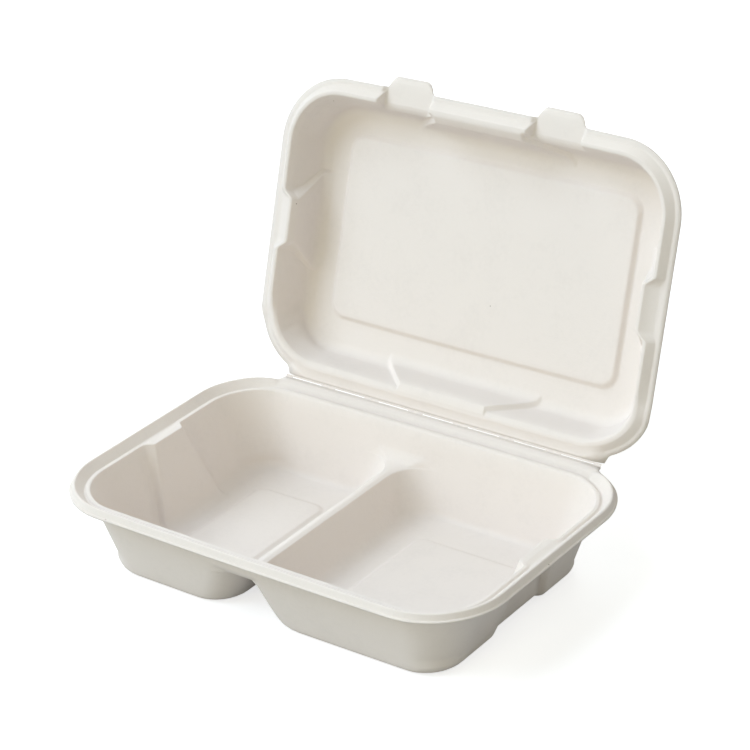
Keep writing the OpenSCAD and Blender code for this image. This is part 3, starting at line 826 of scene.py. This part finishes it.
class MEALBOX_OT_fold(bpy.types.Operator):
    """Build the perforated strip that bends between tray and lid"""
    bl_idname = "mealbox.fold"
    bl_label = "Fold"

    def execute(self, context):
        points, faces = fold_mesh()
        shift = box_shift()
        points[:, 1] += shift
        obj = link_mesh("fold_strip", points, faces)
        bm = bmesh.new()
        bm.from_mesh(obj.data)
        bmesh.ops.recalc_face_normals(bm, faces=bm.faces)
        bm.to_mesh(obj.data)
        bm.free()
        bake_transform(obj)
        return {"FINISHED"}


class MEALBOX_OT_stage(bpy.types.Operator):
    """Set the floor, the lights and the camera"""
    bl_idname = "mealbox.stage"
    bl_label = "Stage"

    def execute(self, context):
        scene = context.scene
        props = scene.meal_box_stage
        self.add_floor(scene, props)
        self.set_world(scene, props)
        self.add_lights(scene, props)
        self.add_camera(scene)
        scene.view_settings.view_transform = "Standard"
        scene.view_settings.look = "None"
        return {"FINISHED"}

    def add_floor(self, scene, props):
        mesh = bpy.data.meshes.new("floor")
        s = FLOOR_HALF
        mesh.from_pydata([(-s, -s, 0), (s, -s, 0), (s, s, 0), (-s, s, 0)], [], [(0, 1, 2, 3)])
        floor = bpy.data.objects.new("floor", mesh)
        scene.collection.objects.link(floor)
        mat = bpy.data.materials.new("White floor")
        mat.use_nodes = True
        nodes, links = mat.node_tree.nodes, mat.node_tree.links
        shader = nodes["Principled BSDF"]
        shader.inputs["Base Color"].default_value = (0.5, 0.5, 0.5, 1)
        shader.inputs["Roughness"].default_value = 1.0
        shader.inputs["Specular IOR Level"].default_value = 0.0
        shader.inputs["Emission Color"].default_value = (1, 1, 1, 1)
        path = nodes.new("ShaderNodeLightPath")
        lit = nodes.new("ShaderNodeMath")
        lit.operation = "MULTIPLY"
        lit.inputs[1].default_value = props.floor_glow
        links.new(path.outputs["Is Camera Ray"], lit.inputs[0])
        links.new(lit.outputs[0], shader.inputs["Emission Strength"])
        mesh.materials.append(mat)

    def set_world(self, scene, props):
        world = bpy.data.worlds.new("Room")
        scene.world = world
        world.use_nodes = True
        nodes, links = world.node_tree.nodes, world.node_tree.links
        back = nodes["Background"]
        back.inputs["Color"].default_value = (1, 1, 1, 1)
        path = nodes.new("ShaderNodeLightPath")
        level = nodes.new("ShaderNodeMapRange")
        level.inputs["To Min"].default_value = props.sky
        level.inputs["To Max"].default_value = 1.0
        links.new(path.outputs["Is Camera Ray"], level.inputs["Value"])
        links.new(level.outputs["Result"], back.inputs["Strength"])

    def add_lights(self, scene, props):
        for name, azimuth, elevation, level, tint in LIGHTS:
            light = bpy.data.lights.new(name, "SUN")
            scale = props.key_level if name.startswith("key") else props.fill_level
            light.energy = scale * level * max(tint)
            light.color = [c / max(tint) for c in tint]
            light.angle = math.radians(LIGHT_ANGLE)
            obj = bpy.data.objects.new(name, light)
            obj.rotation_euler = towards(azimuth, elevation).to_track_quat("Z", "Y").to_euler()
            scene.collection.objects.link(obj)

    def add_camera(self, scene):
        cam = bpy.data.cameras.new("camera")
        cam.sensor_width = FILM
        cam.lens = LENS
        cam.clip_start = 0.05
        cam.clip_end = 20.0
        obj = bpy.data.objects.new("camera", cam)
        back = towards(CAMERA_ROUND, CAMERA_UP)
        az, roll = math.radians(CAMERA_ROUND), math.radians(CAMERA_ROLL)
        level = Vector((math.cos(az), math.sin(az), 0))
        upright = back.cross(level)
        right = level * math.cos(roll) + upright * math.sin(roll)
        up = upright * math.cos(roll) - level * math.sin(roll)
        mm_per_px = CAMERA_AWAY * FILM / (LENS * PIXELS)
        across, down = ((c - PIXELS / 2) * mm_per_px for c in CENTRE_PX)
        place = back * CAMERA_AWAY - right * across + up * down
        place += Vector((0, box_shift(), HEIGHT))
        matrix = Matrix((right, up, back)).transposed().to_4x4()
        matrix.translation = place * MM
        obj.matrix_world = matrix
        scene.collection.objects.link(obj)
        scene.camera = obj


class MEALBOX_PT_panel(bpy.types.Panel):
    bl_idname = "MEALBOX_PT_panel"
    bl_label = "Meal Box"
    bl_space_type = "VIEW_3D"
    bl_region_type = "UI"
    bl_category = "Meal Box"

    def draw(self, context):
        layout = self.layout
        for props in (context.scene.meal_box_look, context.scene.meal_box_stage):
            for key in props.__annotations__:
                layout.prop(props, key)
        for name in ("tray", "lid", "fold", "stage"):
            layout.operator("mealbox." + name)


CLASSES = (
    MealBoxLook, MealBoxStage, MEALBOX_OT_tray, MEALBOX_OT_lid, MEALBOX_OT_fold,
    MEALBOX_OT_stage, MEALBOX_PT_panel)


def register():
    for c in CLASSES:
        bpy.utils.register_class(c)
    bpy.types.Scene.meal_box_look = bpy.props.PointerProperty(type=MealBoxLook)
    bpy.types.Scene.meal_box_stage = bpy.props.PointerProperty(type=MealBoxStage)


def unregister():
    del bpy.types.Scene.meal_box_stage
    del bpy.types.Scene.meal_box_look
    for c in reversed(CLASSES):
        bpy.utils.unregister_class(c)


def main():
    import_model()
    register()
    bpy.ops.mealbox.tray()
    bpy.ops.mealbox.lid()
    bpy.ops.mealbox.fold()
    bpy.ops.mealbox.stage()


if __name__ == "__main__":
    main()
